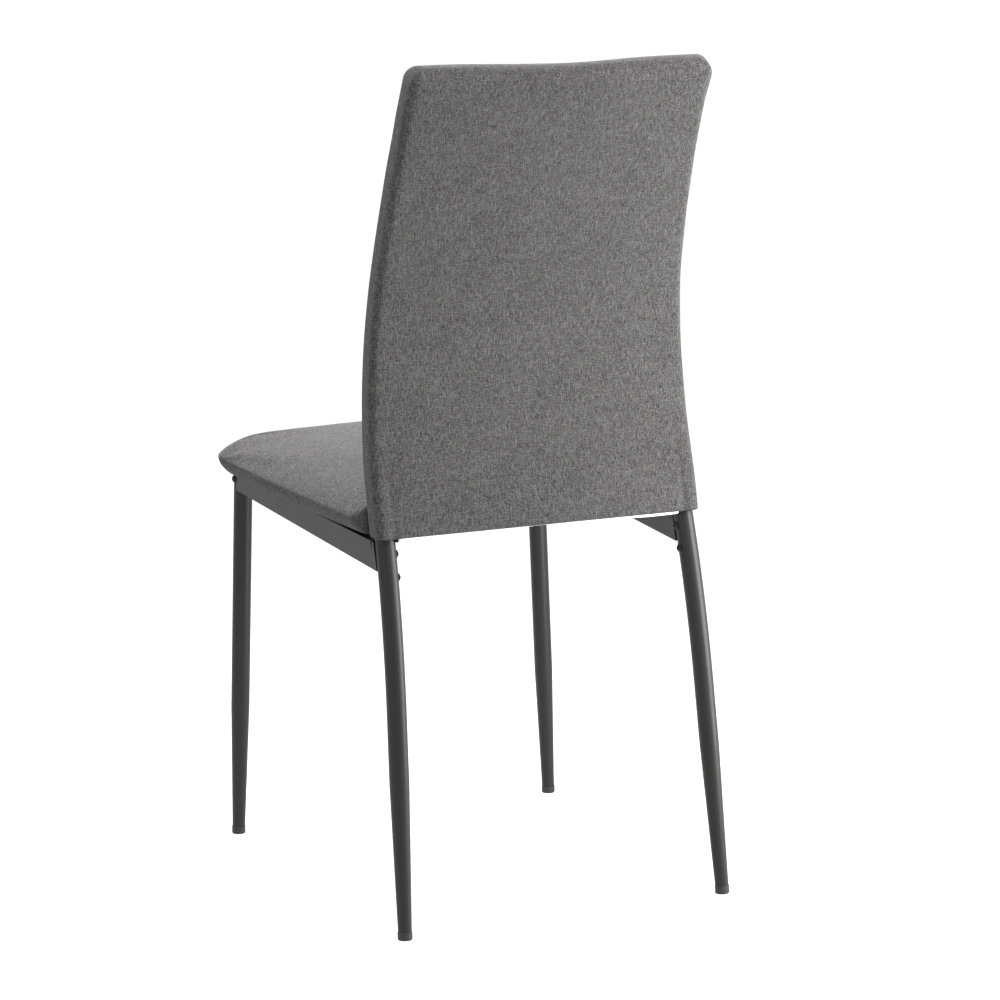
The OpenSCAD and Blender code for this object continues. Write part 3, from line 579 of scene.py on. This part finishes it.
def oval_factors():
    """Factors a, b, c, d of one loop: x = a W + b r across and f = c T + d r forwards."""
    side = np.linspace(0, 1, SIDE_STEPS + 1)[:-1]
    angle = np.linspace(0, math.pi / 2, CORNER_STEPS + 1)[:-1]
    flat = np.linspace(1, -1, FLAT_STEPS + 1)
    quarter = np.array([
        np.ones(len(side) + len(angle)),
        np.concatenate([0 * side, np.cos(angle) - 1]),
        np.concatenate([-side, 0 * angle - 1]),
        np.concatenate([side, 1 - np.sin(angle)]),
    ])
    across = np.array([flat, -flat, 0 * flat - 1, 0 * flat])
    mirrored = quarter[:, ::-1] * np.array([[-1], [-1], [1], [1]])
    rear = np.hstack([quarter, across, mirrored])
    front = rear[:, -2:0:-1] * np.array([[1], [1], [-1], [-1]])
    return np.hstack([rear, front])


def back_rows():
    """Run along the line, width drawn in, half thickness and cloth length of every row."""
    inner = SKIN_HALF - 2 * HEM_RADIUS
    cap = np.linspace(0, 1, 5)[:-1]
    turn = np.linspace(math.pi, 0, 5)
    whole = back_run + BACK_LONGER
    body = np.linspace(HEM_RADIUS, whole - BACK_HALF, BODY_ROWS)[1:]
    round_over = np.radians(np.linspace(0, 90, ROUND_ROWS)[1:])
    drop = BACK_HALF * (1 - np.sin(round_over))
    corner = np.clip(TOP_CORNER - drop, 0, TOP_CORNER)
    run = np.concatenate([
        np.full(4, HEM_UP), [HEM_UP, HEM_UP / 2], HEM_RADIUS * (1 - np.sin(turn)),
        body, whole - drop,
    ])
    run = run + HEM_RISE * (1 - smooth_step(run, 0.0, HEM_FADE))
    thick = np.concatenate([
        inner * cap, [inner, inner], SKIN_HALF - HEM_RADIUS + HEM_RADIUS * np.cos(turn),
        np.full(len(body), SKIN_HALF), SKIN_HALF * np.cos(round_over),
    ])
    draw_in = np.concatenate([
        SKIN_HALF - inner * cap, [2 * HEM_RADIUS] * 2, HEM_RADIUS - HEM_RADIUS * np.cos(turn),
        np.zeros(len(body)), TOP_CORNER - np.sqrt(TOP_CORNER**2 - corner**2),
    ])
    length = np.concatenate([
        -0.02 + 0.008 * cap, [-0.012, -0.008], -0.004 + 0.002 * (1 + np.cos(turn)),
        body, body[-1] + BACK_HALF * round_over,
    ])
    return run, draw_in, thick, length


def back_skin():
    """Rows of loops along the back's line, closed to a ridge at the top and inside the hem."""
    a, b, c, d = oval_factors()
    run, draw_in, thick, length = back_rows()
    y, z, lean = back_line(run)
    y = y + BACK_SHIFT[1] * smooth_step(run, 0.0, SHIFT_FADE)
    y = y + LUMBAR_SHIFT * np.exp(-(((run - LUMBAR_RUN) / LUMBAR_SPREAD) ** 2))
    wide = (half_width(z) + BACK_WIDER - draw_in)[:, None]
    deep = thick[:, None]
    radius = CORNER_SHARE * deep
    x = BACK_SHIFT[0] + a * wide + b * radius
    forward = c * deep + d * radius
    level = smooth_step(run, 0.0, LEVEL_FADE)
    slant = (lean * level)[:, None]
    forward = forward / np.cos(lean - lean * level)[:, None]
    points = np.stack([
        x, y[:, None] - forward * np.cos(slant), z[:, None] + forward * np.sin(slant)
    ], axis=-1)
    steps = np.linalg.norm(np.diff(points, axis=1, append=points[:, :1]), axis=-1)
    travelled = np.cumsum(steps, axis=1) - steps
    centre = len(a) // 4
    cloth_map = np.stack([
        travelled - travelled[:, centre:centre + 1],
        np.repeat(length[:, None], len(a), axis=1),
    ], axis=-1)
    girth = np.zeros((len(run), 1, 2))
    girth[:, 0, 0] = steps.sum(axis=1)
    return points, corner_values(cloth_map, girth)


def fold_flat(numbers):
    """A loop's points numbered so that its front half repeats its rear half, back to front."""
    count = len(numbers)
    return numbers[np.minimum(np.arange(count), count - np.arange(count))]


back_points, back_map = back_skin()
row_count, loop_count = back_points.shape[:2]
rows = np.arange(row_count * loop_count).reshape(row_count, loop_count)
rows[0], rows[-1] = fold_flat(rows[0]), fold_flat(rows[-1])
used, quads = np.unique(loop_quads(rows), return_inverse=True)
back = new_piece(
    "back_upholstery", back_points.reshape(-1, 3)[used], quads.reshape(-1, 4), back_map, cloth
)
print("back skin:", len(used), "points")

# %% [markdown]
# The back has no cloth simulation. Its first and last loops are folded flat, which leaves
# 24 edges of no length at their corners, and the solver doesn't move a mesh with such
# edges. With them merged it does move, and this shape would change. So the back keeps the
# size it was drawn at, and its fullness comes from the rows, from one subdivision and from
# the marks in the next cell.

# %% Smoothing the back
refine(back)
print("back:", len(back.data.polygons), "faces")

# %% [markdown]
# ## Marks of the upholsterer's hands
#
# Cloth that is pulled over a tube shows the tube. Low on the back the legs run up inside the
# cover, so a soft groove marks each tube's inner edge and fades out where the foam gets
# thicker. The sewn top corner on -X stands out as a small ear, the one on +X is drawn in,
# and between them the top edge dips a little. Long, faint waves run through the whole cover.

# %% Shaping the back
GROOVE_IN = 0.0195
GROOVE_DEPTH = 0.0011
GROOVE_WIDTH = 0.0035
TUBE_OFF, TUBE_WIDTH, TUBE_BULGE = 0.009, 0.007, 0.0006
LEFT_EAR, EAR_RISE = -0.5, 0.0004
EAR = 0.0012
DIP, DIP_X, DIP_WIDTH = 0.0037, 0.005, 0.072


def waves(points, seed, size, height, count=14):
    """Sum of cosines in random directions, about size long and height high in all."""
    random = np.random.default_rng(seed)
    direction = random.normal(size=(count, 3))
    direction /= np.linalg.norm(direction, axis=1, keepdims=True)
    pitch = 2 * math.pi / (size * random.uniform(0.6, 1.8, count))
    phase = random.uniform(0, 2 * math.pi, count)
    return height * np.cos(points @ (direction * pitch[:, None]).T + phase).mean(axis=1) * 2


def shape_back(piece):
    """Moves points along their normals by the grooves and waves, then sets ears and dip."""
    points, normals = get_points(piece.data), get_normals(piece.data)
    x, y, z = points.T
    side = np.abs(x)
    rear = smooth_step(normals[:, 1], 0.2, 0.8)
    low = 1 - smooth_step(z, 0.440, 0.560)
    off_groove = side - (half_width(z) - GROOVE_IN)
    groove = np.exp(-((off_groove / GROOVE_WIDTH) ** 2)) * GROOVE_DEPTH
    tube = np.exp(-(((off_groove - TUBE_OFF) / TUBE_WIDTH) ** 2)) * TUBE_BULGE
    push = (tube - groove) * rear * low
    push += waves(points, 5, 0.09, 0.0005) * smooth_step(z, 0.425, 0.47)
    points += normals * push[:, None]
    near_top = smooth_step(z, cover_high.z - 0.052, cover_high.z - 0.028)
    ear = near_top * smooth_step(side, 0.150, 0.170) * np.where(x < 0, 1.0, LEFT_EAR)
    points[:, 0] += np.sign(x) * EAR * ear
    points[:, 2] += EAR_RISE * ear * np.where(x < 0, 1, 0)
    dip = np.exp(-(((x + DIP_X) / DIP_WIDTH) ** 2))
    dip = dip * smooth_step(z, cover_high.z - 0.05, cover_high.z)
    points[:, 2] -= DIP * dip
    set_points(piece.data, points)


shape_back(back)
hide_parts("back_cover", "back_foam_front", "back_foam_rear")
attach(back, "root")
print("back shaped")

# %% [markdown]
# ## The seat
#
# The seat is foam on a board, with one piece of cloth pulled over it and stapled under it.
# Its outline is a trapezoid with a bowed front and round corners. Drawing that outline in
# step by step, while the height follows a quarter ellipse, gives the crowned top, and a
# smaller quarter ellipse gives the rounded underside. Inside the last outline a patch is
# spread between its four sides: the sum of the two ways across, less the corners' own
# blend, which is known as a Coons patch.

# %% The seat's outline
SEAT_FRONT_HALF, SEAT_REAR_HALF = 0.2175, 0.199
SEAT_S0, SEAT_S1 = -0.0274, 0.3824
SEAT_BOW, SEAT_FRONT_R, SEAT_REAR_R = 0.009, 0.040, 0.018
SEAT_SLANT = math.atan(
    (SEAT_FRONT_HALF - SEAT_REAR_HALF) / (SEAT_S1 - SEAT_S0 - SEAT_FRONT_R)
)
SEAT_BELT, SEAT_TALL = 0.0195, 0.0548
CROWN_POWER = 1.5
UNDER_IN, CROWN_IN, REAR_SHARE = 0.030, 0.110, 0.22
HEM_IN = 0.054
RAIL_TOP = 0.43155
SEAT_TILT = math.radians(2.1)
BOW_R = ((SEAT_FRONT_HALF - SEAT_FRONT_R) ** 2 + SEAT_BOW**2) / 2 / SEAT_BOW
seat_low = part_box("seat_cover")[0]
seat_front_y = (
    seat_low.y + (SEAT_BOW - SEAT_S0) * math.cos(SEAT_TILT) - SEAT_BELT * math.sin(SEAT_TILT)
)
FRONT_STEPS, SIDE_STEPS_SEAT, REAR_STEPS, BEND_STEPS, TIGHT_STEPS = 60, 70, 66, 10, 4


def seat_outline(inset, rear_inset):
    """The outline drawn in, as points (across, back) in even steps along each part."""
    big, small = max(SEAT_FRONT_R - inset, 0.002), max(SEAT_REAR_R - inset, 0.002)
    front = np.array([SEAT_FRONT_HALF - inset - big, SEAT_S0 + inset + big])
    rear = np.array([SEAT_REAR_HALF - inset - small, SEAT_S1 - rear_inset - small])
    bend = np.linspace(-math.pi / 2, SEAT_SLANT, BEND_STEPS + 1)[:-1]
    tight = np.linspace(SEAT_SLANT, math.pi / 2, TIGHT_STEPS + 1)[:-1]
    out = np.array([math.cos(SEAT_SLANT), math.sin(SEAT_SLANT)])
    along = np.linspace(0, 1, SIDE_STEPS_SEAT + 1)[:-1, None]
    side = (front + big * out) * (1 - along) + (rear + small * out) * along
    x = np.linspace(0, front[0], FRONT_STEPS // 2 + 1)[:-1]
    bow = SEAT_S0 + inset - SEAT_BOW + BOW_R - np.sqrt(BOW_R**2 - x**2)
    half = np.concatenate([
        np.stack([x, bow], axis=1),
        front + big * np.stack([np.cos(bend), np.sin(bend)], axis=1),
        side,
        rear + small * np.stack([np.cos(tight), np.sin(tight)], axis=1),
        np.stack([
            np.linspace(rear[0], 0, REAR_STEPS // 2 + 1),
            np.full(REAR_STEPS // 2 + 1, SEAT_S1 - rear_inset),
        ], axis=1),
    ])
    return np.concatenate([half, half[-2:0:-1] * (-1, 1)])


def coons(ring, corners):
    """Inner rows of points between four sides of a ring, whose corners have these numbers."""
    c0, c1, c2, c3 = corners
    n = len(ring)
    pick = lambda i, j: ring[(i + np.arange((j - i) % n + 1)) % n]
    front, right = pick(c0, c1), pick(c1, c2)
    rear, left = pick(c2, c3)[::-1], pick(c3, c0)[::-1]
    u = np.linspace(0, 1, len(front))[None, :, None]
    v = np.linspace(0, 1, len(right))[:, None, None]
    ruled = (1 - v) * front[None] + v * rear[None] + (1 - u) * left[:, None] + u * right[:, None]
    blend = (
        (1 - u) * (1 - v) * front[0] + u * (1 - v) * front[-1]
        + (1 - u) * v * rear[0] + u * v * rear[-1]
    )
    return ruled - blend


def patch_numbers(ring_numbers, corners, first):
    """Point numbers of such a patch: its border is the ring's, its inside is numbered on."""
    c0, c1, c2, c3 = corners
    n = len(ring_numbers)
    pick = lambda i, j: ring_numbers[(i + np.arange((j - i) % n + 1)) % n]
    wide, long = (c1 - c0) % n + 1, (c2 - c1) % n + 1
    numbers = np.zeros((long, wide), int)
    numbers[1:-1, 1:-1] = first + np.arange((long - 2) * (wide - 2)).reshape(long - 2, wide - 2)
    numbers[0], numbers[-1] = pick(c0, c1), pick(c2, c3)[::-1]
    numbers[:, 0], numbers[:, -1] = pick(c3, c0)[::-1], pick(c1, c2)
    return numbers


def seat_place(flat, height):
    """Seat coordinates (across, back, up) turned by the seat's tilt into the chair's frame."""
    s, h = flat[..., 1], height
    return np.stack([
        flat[..., 0],
        seat_front_y + s * math.cos(SEAT_TILT) + h * math.sin(SEAT_TILT),
        RAIL_TOP - s * math.sin(SEAT_TILT) + h * math.cos(SEAT_TILT),
    ], axis=-1)


ring_count = len(seat_outline(0, 0))
front_corner = FRONT_STEPS // 2 + BEND_STEPS // 2
rear_corner = FRONT_STEPS // 2 + BEND_STEPS + SIDE_STEPS_SEAT + TIGHT_STEPS // 2
CORNERS = (ring_count - front_corner, front_corner, rear_corner, ring_count - rear_corner)
print("seat outline of", ring_count, "points")

# %% The seat's skin
CROWN_DOME = 0.004
SEAT_SHRINK = -0.0018
BELT_ROW = 15
HELD_ROWS = 10
UNDER_UP = 0.0015


def seat_rows():
    """Inset, height and cloth length of each outline, from the hem's edge up to the crown."""
    hem = np.linspace(HEM_IN, UNDER_IN, 8)[:-1]
    under = np.linspace(math.pi / 2, 0, 8)[:-1]
    crown = np.linspace(0, math.pi / 2, 19)
    inset = np.concatenate([
        hem, UNDER_IN * (1 - np.cos(under)), CROWN_IN * (1 - np.cos(crown))
    ])
    height = np.concatenate([
        0 * hem, SEAT_BELT * (1 - np.sin(under)),
        SEAT_BELT + (SEAT_TALL - SEAT_BELT) * np.sin(crown) ** CROWN_POWER,
    ])
    travelled = np.concatenate([[0], np.cumsum(np.hypot(np.diff(inset), np.diff(height)))])
    return inset, height, travelled[-1] - travelled


def seat_skin():
    """Rings from hem to crown with a patch over the top and another across the underside."""
    inset, height, length = seat_rows()
    rings = np.array([
        seat_outline(i + SEAT_SHRINK, REAR_SHARE * i + SEAT_SHRINK) for i in inset
    ])
    count = len(inset)
    crown = rings[-1]
    belt = rings[BELT_ROW]
    along = np.roll(belt, -1, axis=0) - np.roll(belt, 1, axis=0)
    out = np.stack([along[:, 1], -along[:, 0]], axis=1)
    out /= np.linalg.norm(out, axis=1, keepdims=True)
    spread = rings + out * (length - CROWN_IN + inset)[:, None, None]
    points = [seat_place(rings, height[:, None]).reshape(-1, 3)]
    numbers = np.arange(count * ring_count).reshape(count, ring_count)
    top = patch_numbers(numbers[-1], CORNERS, numbers.size)
    top_flat = coons(crown, CORNERS)
    u = np.linspace(-1, 1, top.shape[1])
    v = np.linspace(-1, 1, top.shape[0])[:, None]
    dome = CROWN_DOME * (1 - u**2) * (1 - v**2)
    inside = np.s_[1:-1, 1:-1]
    points.append(seat_place(top_flat, SEAT_TALL + dome)[inside].reshape(-1, 3))
    under = patch_numbers(numbers[0], CORNERS, top.max() + 1)
    under_flat = coons(rings[0], CORNERS)
    points.append(seat_place(under_flat, np.full(under.shape, UNDER_UP))[inside].reshape(-1, 3))
    quads = [
        loop_quads(numbers), loop_quads(top, shut=False), loop_quads(under, shut=False)[:, ::-1]
    ]
    maps = [
        corner_values(spread, np.zeros((count, 1, 2))),
        corner_values(top_flat),
        corner_values(under_flat).reshape(-1, 4, 2)[:, ::-1].reshape(-1, 2),
    ]
    return (
        np.concatenate(points), np.concatenate(quads), np.concatenate(maps),
        np.union1d(numbers[:HELD_ROWS], under),
    )


seat_points, seat_quads, seat_map, seat_held = seat_skin()
seat = new_piece("seat_upholstery", seat_points, seat_quads, seat_map, cloth)
print("seat skin:", len(seat_points), "points")

# %% Foam in the seat
SEAT_PUFF = 0.003
held = np.zeros(len(seat_points), bool)
held[seat_held] = True
blow_up(seat, held, pressure=4.0, cap=SEAT_PUFF)
refine(seat)
points, normals = get_points(seat.data), get_normals(seat.data)
top_side = smooth_step(normals[:, 2], -0.2, 0.4)
set_points(seat.data, points + normals * (waves(points, 11, 0.11, 0.0006) * top_side)[:, None])
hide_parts("seat_cover", "seat_foam")
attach(seat, "root")
print("seat:", len(seat.data.polygons), "faces")

# %% [markdown]
# ## The two linings
#
# A black dust cloth closes the underside of the seat. It is a thin spunbonded sheet,
# stapled round its edge, and it sags a little between the staples. A pale strip is pushed
# up into the open bottom of the back between the legs, and only its fold shows below the
# hem. Both are shaped by formula and given about half a millimetre of thickness. Their cut
# sizes are worked out from the finished shape, so they can't reveal any stretch.


# %% The linings
def thicken(piece, thickness):
    """Gives a flat sheet its thickness, in the mesh itself."""
    shell = piece.modifiers.new("shell", "SOLIDIFY")
    shell.thickness, shell.offset = thickness, 0.0
    shown = piece.evaluated_get(bpy.context.evaluated_depsgraph_get())
    mesh = bpy.data.meshes.new_from_object(shown)
    piece.modifiers.remove(shell)
    piece.data = mesh


lining_flat = coons(seat_outline(HEM_IN + 0.0012, REAR_SHARE * HEM_IN + 0.0012), CORNERS)
u = np.linspace(-1, 1, lining_flat.shape[1])
v = np.linspace(-1, 1, lining_flat.shape[0])[:, None]
sag = 0.0016 * (1 - u**2) * (1 - v**2) ** 2
sag = sag + 0.0002 * np.cos(14 * u) * np.cos(11 * v) * (1 - u**2)
lining_points = seat_place(lining_flat, 0.0006 - sag)
lining_rows = np.arange(lining_points[..., 0].size).reshape(lining_points.shape[:2])
dust_cloth = new_piece(
    "dust_cloth",
    lining_points.reshape(-1, 3),
    loop_quads(lining_rows, shut=False)[:, ::-1],
    corner_values(lining_flat).reshape(-1, 4, 2)[:, ::-1].reshape(-1, 2),
    finishes["dark_lining"],
)
thicken(dust_cloth, 0.0004)
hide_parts("seat_lining")
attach(dust_cloth, "root")

strip_x = np.linspace(-0.165, 0.165, 80)
fold = np.linspace(-math.pi / 2, math.pi / 2, 33)[:, None]
STRIP_HALF, STRIP_TOP = 0.0118, 0.0078
strip_low = 0.0012 - 0.0022 * smooth_step(strip_x, -0.02, -0.14)
strip_low = strip_low + 0.0003 * np.cos(strip_x * 70)
strip_low = strip_low - 0.0035 * smooth_step(strip_x, 0.135, 0.155)
strip_run = strip_low + (STRIP_TOP - strip_low) * (1 - np.sqrt(np.cos(fold).clip(0)))
strip_forward = STRIP_HALF * np.sign(np.sin(fold)) * np.sqrt(np.abs(np.sin(fold)))
foot_y, foot_z = (float(v[0]) for v in back_line(np.zeros(1))[:2])
strip_points = np.stack([
    strip_x + 0 * strip_run,
    foot_y - strip_forward + 0 * strip_run,
    foot_z + strip_run,
], axis=-1)
strip_rows = np.arange(strip_points[..., 0].size).reshape(strip_points.shape[:2])
steps = np.linalg.norm(np.diff(strip_points, axis=0), axis=-1)
strip_along = np.vstack([steps[:1] * 0, np.cumsum(steps, axis=0)])
strip_map = np.stack([strip_points[..., 0], strip_along], axis=-1)
strip = new_piece(
    "back_lining_strip",
    strip_points.reshape(-1, 3),
    loop_quads(strip_rows, shut=False),
    corner_values(strip_map),
    finishes["pale_lining"],
)
thicken(strip, 0.0005)
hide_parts("back_lining")
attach(strip, "root")

# %% [markdown]
# ## The floor and the light
#
# The room is a plain pale floor under a sky that is white near the horizon and dim above,
# so nothing competes with the chair. The floor glows a little by itself, because a floor
# lit only by this sky would look grey. Four soft lamps do the rest: one close on the -X
# side makes the shading that falls across the back, one above and behind lights the top
# edge, one overhead lights the seat, and a faint one on +X fills the dark side.


# %% Floor and lamps
def lamp(name, place, target, size, power, tall=None):
    """A soft rectangular lamp of so many watts that faces its target."""
    light = bpy.data.lights.new(name, "AREA")
    light.shape = "RECTANGLE"
    light.size, light.size_y = size, tall or size
    light.energy = power
    stand = bpy.data.objects.new(name, light)
    away = np.array(place, float) - np.array(target, float)
    azimuth = math.atan2(away[0], -away[1])
    elevation = math.atan2(away[2], math.hypot(*away[:2]))
    stand.matrix_world = camera_matrix(place, azimuth, elevation, 0.0)
    scene.collection.objects.link(stand)
    return stand


def pale_floor():
    board = Board(
        "pale_floor", Roughness=0.8, Specular_IOR_Level=0.1,
        Emission_Color=(1, 1, 1, 1), Emission_Strength=0.97,
    )
    x, y, z = board.body_millimetres()
    drift = board.grain(x * 0.002, y * 0.002, 0.0, detail=2.0)
    return board.finish(Base_Color=board.mix(drift, grey(0.24), grey(0.26)))


FLOOR_HALF = 40.0
edge = np.linspace(-FLOOR_HALF, FLOOR_HALF, 3)
floor_x, floor_y = np.meshgrid(edge, edge)
floor_points = np.stack([floor_x, floor_y, 0 * floor_x - 0.0002], axis=-1)
floor = new_piece(
    "floor",
    floor_points.reshape(-1, 3),
    loop_quads(np.arange(9).reshape(3, 3), shut=False),
    corner_values(floor_points[..., :2]),
    pale_floor(),
)
lamp("side_lamp", (-0.64, 0.56, 0.70), (0, 0.20, 0.64), 0.36, 26, tall=1.2)
lamp("rear_lamp", (0.15, 0.85, 1.75), (0, 0.2, 0.85), 0.8, 17)
lamp("fill_lamp", (1.7, 0.9, 0.9), (0.1, 0.1, 0.5), 1.0, 3)
lamp("top_lamp", (0.0, -0.55, 1.55), (0, -0.05, 0.47), 0.9, 60)
world = bpy.data.worlds.new("sky")
world.use_nodes = True
sky = world.node_tree
direction = sky.nodes.new("ShaderNodeTexCoord")
parts = sky.nodes.new("ShaderNodeSeparateXYZ")
fade = sky.nodes.new("ShaderNodeMapRange")
ramp = {"From Min": 0.28, "From Max": 0.45, "To Min": 1.02, "To Max": 0.12}
for socket, value in ramp.items():
    fade.inputs[socket].default_value = value
sky.links.new(direction.outputs["Generated"], parts.inputs[0])
sky.links.new(parts.outputs["Z"], fade.inputs["Value"])
sky.links.new(fade.outputs["Result"], sky.nodes["Background"].inputs["Strength"])
sky.nodes["Background"].inputs["Color"].default_value = (1, 1, 1, 1)
scene.world = world
scene.view_settings.view_transform = "Standard"
print("floor and lamps ready")
